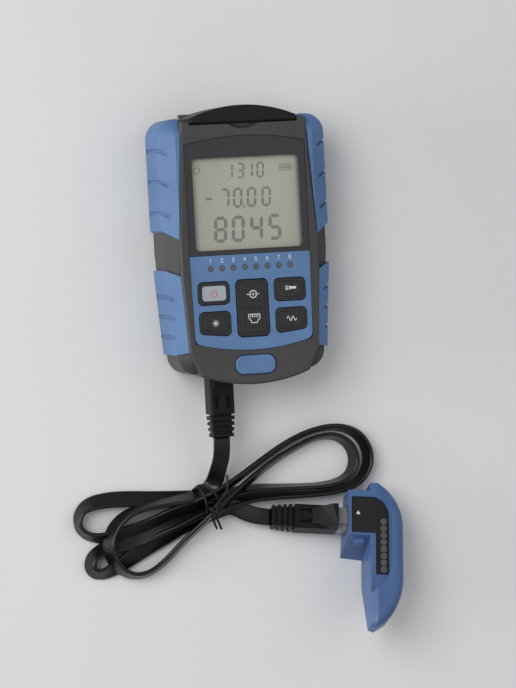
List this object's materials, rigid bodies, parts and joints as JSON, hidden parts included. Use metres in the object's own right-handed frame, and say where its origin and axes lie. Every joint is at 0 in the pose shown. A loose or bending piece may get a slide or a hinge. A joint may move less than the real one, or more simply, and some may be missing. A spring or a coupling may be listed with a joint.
{
  "type": "optical power meter",
  "caption": "Hand-held fibre-optic power and wavelength tester with display, keypad, hinged dust cover, docking bay, and a plug-in remote unit on a tied flat cord.",
  "frame": {"origin": "centre of the meter's flat back, in the plane it lies on", "axes": "+Y towards the meter's top end with the dust cover, +Z out of the display face, +X to the right of the display"},
  "size_m": [0.173, 0.2689, 0.0419],
  "materials": {
    "shell_grey": "fine textured",
    "cover_black": "satin",
    "grip_blue": "satin",
    "panel_blue": "satin",
    "bezel_dark": "satin",
    "key_black": "satin",
    "key_light": "satin",
    "lens": "clear",
    "lcd": "satin",
    "backlight_white": "satin",
    "light_clear": "gloss",
    "steel": "brushed",
    "port_metal": "turned",
    "board_green": "satin",
    "chip_black": "satin",
    "dome_metal": "satin",
    "jack_black": "satin",
    "plug_clear": "clear",
    "boot_black": "satin",
    "cord_black": "satin",
    "tie_black": "satin",
    "remote_blue": "satin",
    "label_black": "satin"
  },
  "bodies": {
    "case": {"battery_cells": "steel", "battery_contacts": "steel", "battery_door": "shell_grey", "board_chips": "chip_black", "case_screws": "steel", "cord_hank": "cord_black", "cord_lead_meter": "cord_black", "cord_lead_remote": "cord_black", "cord_tie": "tie_black", "cover_hinge_pin": "steel", "display_bezel": "bezel_dark", "display_lens": "lens", "front_shell": "shell_grey", "grip_lower_left": "grip_blue", "grip_lower_right": "grip_blue", "grip_upper_left": "grip_blue", "grip_upper_right": "grip_blue", "indicator_lights": "light_clear", "key_domes": "dome_metal", "keypad_board": "board_green", "keypad_panel": "panel_blue", "laser_module": "port_metal", "laser_port": "port_metal", "lcd_backlight": "backlight_white", "lcd_glass": "lcd", "main_board": "board_green", "meter_boot": "boot_black", "meter_plug": "plug_clear", "meter_port": "port_metal", "network_jack": "jack_black", "photodiode": "port_metal", "rear_shell": "shell_grey", "release_retainer": "shell_grey", "release_spring": "steel", "remote_back": "remote_blue", "remote_board": "board_green", "remote_boot": "boot_black", "remote_jack": "jack_black", "remote_label": "label_black", "remote_lights": "light_clear", "remote_plug": "plug_clear", "remote_shell": "remote_blue", "torch_light": "light_clear"},
    "cover": {"dust_cover": "cover_black"},
    "power": {"power_key": "key_black", "power_key_cap": "key_light"},
    "laser": {"laser_key": "key_black"},
    "lamp": {"lamp_key": "key_black"},
    "wave": {"wave_key": "key_black"},
    "reference": {"reference_key": "key_black"},
    "release": {"release_button": "panel_blue"}
  },
  "joints": [
    {"name": "cover_hinge", "type": "hinge", "parent": "case", "child": "cover", "pos_m": [0, 0.0646, 0.008], "axis": [-1, 0, 0], "range_deg": [0, 95]},
    {"name": "power_press", "type": "slide", "parent": "case", "child": "power", "axis": [0, 0, -1], "range_m": [0, 0.0006], "stiffness_N_per_m": 2000},
    {"name": "laser_press", "type": "slide", "parent": "case", "child": "laser", "axis": [0, 0, -1], "range_m": [0, 0.0006], "stiffness_N_per_m": 2000},
    {"name": "lamp_press", "type": "slide", "parent": "case", "child": "lamp", "axis": [0, 0, -1], "range_m": [0, 0.0006], "stiffness_N_per_m": 2000},
    {"name": "wave_press", "type": "slide", "parent": "case", "child": "wave", "axis": [0, 0, -1], "range_m": [0, 0.0006], "stiffness_N_per_m": 2000},
    {"name": "reference_rock", "type": "hinge", "parent": "case", "child": "reference", "pos_m": [0, -0.03145, 0.0327], "axis": [1, 0, 0], "range_deg": [-2.5, 2.5], "stiffness_Nm_per_rad": 0.25},
    {"name": "release_press", "type": "slide", "parent": "case", "child": "release", "axis": [0, 0, -1], "range_m": [0, 0.001], "stiffness_N_per_m": 1500, "deforming": ["release_spring"]}
  ]
}
